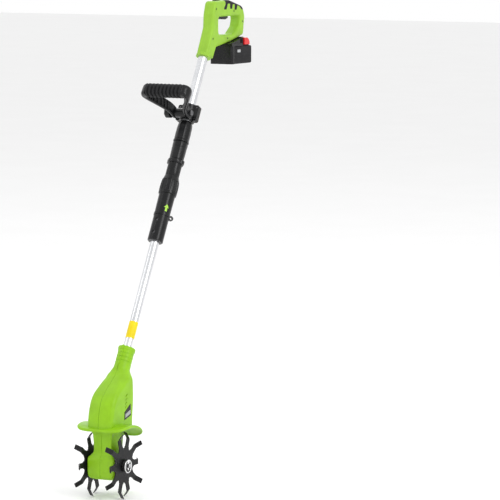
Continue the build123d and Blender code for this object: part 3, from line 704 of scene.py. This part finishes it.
def bow_rings(side):
    """Rings along one arm, hollowed on the inner side between its pivot and the grip."""
    rows = smooth_rows(BOW_PATH, 6)
    rings = []
    for i, (x, y, half, high) in enumerate(rows):
        across = bow_axes(rows[max(i - 1, 0)], rows[min(i + 1, len(rows) - 1)])[1]
        share = i / (len(rows) - 1)
        hollow = HOLLOW * max(0.0, min(1.0, (share - 0.28) / 0.08, (0.80 - share) / 0.08))
        ring = []
        for k in range(64):
            a = 2 * math.pi * k / 64
            c, s = math.cos(a), math.sin(a)
            squared = reach(c, s, 4)
            u, v = half * c * squared, high * s * squared
            if u < 0 and abs(v) < high - FLANGE:
                u = min(u + hollow, half - 2)
            ring.append(bow_point(side * (x + across.x * u), y + across.y * u, v))
        rings.append(ring)
    return rings, rows


def bow_ribs(side, rows):
    """Slanting ribs in the hollow inner side of one arm."""
    rings = []
    for share in [0.36 + 0.055 * k for k in range(8)]:
        i = int(share * (len(rows) - 1))
        x, y, half, high = rows[i]
        along, across = bow_axes(rows[i], rows[i + 1])
        foot, tip = -half + 0.4, half - 2
        corners = ((foot, -RIB_HALF), (foot, RIB_HALF), (tip, RIB_HALF), (tip, -RIB_HALF))
        for v, slant in ((-high + 2, -RIB_SLANT), (high - 2, RIB_SLANT)):
            ring = []
            for u, shift in corners:
                step = along * (shift + slant)
                ring.append(bow_point(side * (x + across.x * u + step.x), y + across.y * u + step.y, v))
            rings.append(ring)
    return rings


def join_meshes(name, meshes):
    """Put several meshes into one and delete them."""
    bm = bmesh.new()
    for mesh in meshes:
        bm.from_mesh(mesh)
        bpy.data.meshes.remove(mesh)
    whole = bpy.data.meshes.new(name)
    bm.to_mesh(whole)
    bm.free()
    return whole


def front_handle():
    """Both arms of the bow with their ribs, as one piece."""
    parts = []
    for side in (1, -1):
        rings, rows = bow_rings(side)
        arm = skin("arm", rings, caps=(True, True))
        tidy_mesh(arm)
        parts.append(arm)
        ribs = bow_ribs(side, rows)
        for i in range(0, len(ribs), 2):
            rib = skin("rib", ribs[i:i + 2], caps=(True, True))
            tidy_mesh(rib)
            parts.append(rib)
    whole = join_meshes("front_bow", parts)
    piece("front_bow", whole, "black_plastic", "front_handle", ("front_handle_bow",), 40)


def front_grip():
    """Rubber grip: smooth above, nine deep finger grooves in front and below."""
    rings = []
    count = 230
    for i in range(count + 1):
        x = -GRIP_HALF + 2 * GRIP_HALF * i / count
        end = max(0.0, (abs(x) - GRIP_HALF + 5) / 5)
        nearest = round(x / GROOVE_PITCH)
        off = x - GROOVE_PITCH * nearest
        groove = 1 / (1 + (abs(off) / 2.7) ** 8) if abs(nearest) <= GROOVES_EACH_SIDE else 0
        wave = 0.5 * math.cos(2 * math.pi * x / GROOVE_PITCH)
        ring = []
        for k in range(56):
            a = 2 * math.pi * k / 56
            c, s = math.cos(a), math.sin(a)
            facing = math.cos(a - math.radians(235))
            mask = 1 / (1 + math.exp(-(facing - 0.30) * 34))
            size = (1 - 0.33 * groove * mask - 0.10 * end ** 2) * reach(c, s, 2.8)
            ring.append(bow_point(x, GRIP_Y + (GRIP_DEEP + wave) * c * size, (GRIP_HIGH + wave) * s * size))
        rings.append(ring)
    mesh = skin("front_grip", rings, caps=(True, True))
    tidy_mesh(mesh)
    piece("front_grip", mesh, "dark_grip", "front_handle", ("front_grip_pad",), 60)


front_handle()
front_grip()


# ---------------------------------------------------------------- connector

SLEEVE_BORE = 14.3
TWIST_FROM = 462.4
TWIST_TO = 518.6
BAR_HIGH = 2.2
CLIP_FROM = 558
CLIP_TO = 569
LUG_HIGH = 2.8
BUMPS_FROM = 538
BUMPS_TO = 557
BUMP_HIGH = 1.7
# Station and outer radius up each sleeve
TWIST_PROFILE = ((TWIST_FROM, 23.6), (463.5, 25.4), (469, 26), (471, 26), (472, 26), (484, 26), (496, 25.5),
                 (504, 24.6), (505, 24.4), (511, 22.4), (TWIST_TO, 20.2))
MID_PROFILE = ((519, 19.2), (520, 19.8), *[(station, 19.8) for station in range(BUMPS_FROM, BUMPS_TO)],
               (557.2, 19.8), (557.8, 22.4), (558.4, 22.8), (568.6, 22.8), (569.4, 22.4), (570, 20.6))
WINDOW_PROFILE = ((570, 19.2), (571.5, 20.3), (585, 20.6), (600, 21), (606, 21.2), (606.6, 20.2), (609, 20.2),
                  (609.6, 21.2), (618, 21.4), (622.5, 21.2), (624, 19.4))
TOP_PROFILE = ((624.2, 20.6), (625, 22.4), (630, 22.6), (631, 21.6), (631.6, 20.2), (633, 21.2), (650, 21.6),
               (668, 21.2), (680, 20), (685, 18.8), (688, 17.2))


def turned_rings(profile, shape, count=96):
    """Rings round the pole; shape(angle, station, radius) may facet or groove them."""
    rings = []
    for station, radius in profile:
        ring = []
        for k in range(count):
            a = 2 * math.pi * k / count
            r = shape(a, station, radius)
            ring.append(pole(r * math.cos(a), r * math.sin(a), station))
        rings.append(ring)
    return rings


def sleeve(name, profile, body, shape, angle=30):
    """A hollow sleeve: outer profile up the pole, then the bore back down."""
    top, bottom = profile[-1][0], profile[0][0]
    bore = [(top, SLEEVE_BORE), (bottom, SLEEVE_BORE)]
    outer = turned_rings(profile, shape)
    inner = turned_rings(bore, lambda a, station, radius: radius)
    mesh = skin(name, outer + inner + outer[:1])
    tidy_mesh(mesh)
    return piece(name + "_shell", mesh, "black_plastic", body, (name,), angle)


def facets(count, share):
    """A shape that pulls a round section towards a polygon of so many flats."""
    step = 2 * math.pi / count

    def shape(a, station, radius):
        off = (a + step / 4) % step - step / 2
        flat = radius * math.cos(step / 2) / math.cos(off)
        return radius * (1 - share) + flat * share
    return shape


def finger_bars(a, station, radius):
    """Twelve flats with raised bars between them on the twist collar."""
    step = math.pi / 6
    off = abs((a + 0.2) % step - step / 2)
    bar = BAR_HIGH / (1 + (off / 0.09) ** 6)
    inside = TWIST_FROM + 9 < station < TWIST_TO - 14
    return radius - (BAR_HIGH - bar if inside else 0)


def clip_and_bumps(a, station, radius):
    """Two lugs on the clip ring and two bumps down the rear of the mid sleeve."""
    if CLIP_FROM < station < CLIP_TO:
        return radius + LUG_HIGH / (1 + (math.sin(a) / 0.3) ** 8)
    if BUMPS_FROM < station < BUMPS_TO and math.sin(a) > 0.8:
        wave = math.sin((station - BUMPS_FROM) / (BUMPS_TO - BUMPS_FROM) * 3 * math.pi)
        return radius + BUMP_HIGH * max(0.0, wave) * (math.sin(a) - 0.8) / 0.2
    return radius


sleeve("twist_collar", TWIST_PROFILE, "twist_collar_body", finger_bars, 25)
sleeve("mid_sleeve", MID_PROFILE, "upper_pole", clip_and_bumps, 35)
sleeve("top_sleeve", TOP_PROFILE, "upper_pole", facets(8, 0.55))
sleeve("window_sleeve", WINDOW_PROFILE, "upper_pole", facets(8, 0.4))


# ---------------------------------------------------------------- pack label

LABEL_SHIFT = 0.014
LABEL_HALF_LONG = 0.009
LABEL_HALF_HIGH = 0.004


def pack_label():
    """Small blank label high on the pack's side."""
    lo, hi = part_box("pack_label")
    y = (lo.y + hi.y) / 2 - LABEL_SHIFT
    z = (lo.z + hi.z) / 2 + LABEL_SHIFT
    corners = ((-1, -1), (1, -1), (1, 1), (-1, 1))
    outline = [(y + a * LABEL_HALF_LONG, z + b * LABEL_HALF_HIGH) for a, b in corners]
    plate("pack_label_plate", outline, lo.x, hi.x, 0.15, "grey_label", "battery", lambda *p: Vector(p),
          ("pack_label",))


pack_label()


# ---------------------------------------------------------------- stage

CAMERA_AZIMUTH = math.radians(29.94)
CAMERA_DISTANCE = 9.213
CAMERA_HEIGHT = 0.538
AIM_AZIMUTH = math.radians(28.41)
AIM_DROP = math.radians(6.19)
LENS_MM = 238.4
FLOOR_HALF = 30.0
FLOOR_GAP = 0.0005
FRONT_LEVEL = 0.9
BACKDROP_LEVEL = 1.0


def paper(name, colour):
    """Matt paper for the floor."""
    g = Graph(name)
    soft = g.noise(3.0, 3.0)
    g.set(Base_Color=g.ramp(soft, [(0.3, colour), (0.7, tuple(c * 0.985 for c in colour))]), Roughness=0.9)
    return g.material


def make_stage():
    """Pale floor just under the object, and the world's light."""
    floor_z = cad_box[0].z - FLOOR_GAP
    mesh = bpy.data.meshes.new("floor")
    corners = ((-1, -1), (1, -1), (1, 1), (-1, 1))
    mesh.from_pydata([(x * FLOOR_HALF, y * FLOOR_HALF, floor_z) for x, y in corners], [], [(0, 1, 2, 3)])
    floor = bpy.data.objects.new("floor", mesh)
    bpy.context.collection.objects.link(floor)
    mesh.materials.append(paper("floor_paper", (0.96, 0.96, 0.96)))
    studio_world()


def studio_world():
    """A white backdrop behind the object, dimmer towards the camera so that gloss keeps its depth."""
    world = bpy.data.worlds.new("studio")
    bpy.context.scene.world = world
    world.use_nodes = True
    tree = world.node_tree
    coords = tree.nodes.new("ShaderNodeTexCoord")
    along = tree.nodes.new("ShaderNodeVectorMath")
    along.operation = "DOT_PRODUCT"
    along.inputs[1].default_value = (-math.sin(CAMERA_AZIMUTH), math.cos(CAMERA_AZIMUTH), 0)
    fade = tree.nodes.new("ShaderNodeMapRange")
    limits = {"From Min": 0.05, "From Max": 0.75, "To Min": FRONT_LEVEL, "To Max": BACKDROP_LEVEL}
    for name, value in limits.items():
        fade.inputs[name].default_value = value
    tree.links.new(coords.outputs["Generated"], along.inputs[0])
    tree.links.new(along.outputs["Value"], fade.inputs["Value"])
    tree.links.new(fade.outputs["Result"], tree.nodes["Background"].inputs["Strength"])
    tree.nodes["Background"].inputs["Color"].default_value = (1, 1, 1, 1)


def area_light(name, place, target, size, power):
    """A rectangular softbox at a place, turned to its target."""
    data = bpy.data.lights.new(name, "AREA")
    data.shape = "RECTANGLE"
    data.size, data.size_y = size
    data.energy = power
    light = bpy.data.objects.new(name, data)
    bpy.context.collection.objects.link(light)
    light.location = place
    light.rotation_mode = "QUATERNION"
    light.rotation_quaternion = (Vector(target) - Vector(place)).to_track_quat("-Z", "Y")


def make_lights():
    """Soft lights: name, place, target, size and watts of each."""
    area_light("key", (3.0, -1.2, 1.6), (0, 0, -0.4), (1.2, 2.8), 48)
    area_light("fill", (-3.0, -3.0, 1.4), (0, 0, -0.4), (0.9, 2.8), 16)
    area_light("rim", (-1.5, 2.6, 1.2), (0, 0, -0.2), (1.4, 2.4), 15)
    area_light("top", (-1.5, 2.0, 5.0), (-1.0, 1.5, 0), (9.0, 9.0), 90)


def make_camera():
    """Camera at the photo's viewing angle."""
    data = bpy.data.cameras.new("camera")
    data.lens = LENS_MM
    data.sensor_width = 36.0
    data.clip_end = 100.0
    camera = bpy.data.objects.new("camera", data)
    bpy.context.collection.objects.link(camera)
    camera.location = (CAMERA_DISTANCE * math.sin(CAMERA_AZIMUTH),
                       -0.2 - CAMERA_DISTANCE * math.cos(CAMERA_AZIMUTH), CAMERA_HEIGHT)
    back = Vector((math.sin(AIM_AZIMUTH) * math.cos(AIM_DROP), -math.cos(AIM_AZIMUTH) * math.cos(AIM_DROP),
                   math.sin(AIM_DROP)))
    camera.rotation_mode = "QUATERNION"
    camera.rotation_quaternion = (-back).to_track_quat("-Z", "Y")
    bpy.context.scene.camera = camera


bpy.context.scene.view_settings.view_transform = "Standard"
make_stage()
make_lights()
make_camera()
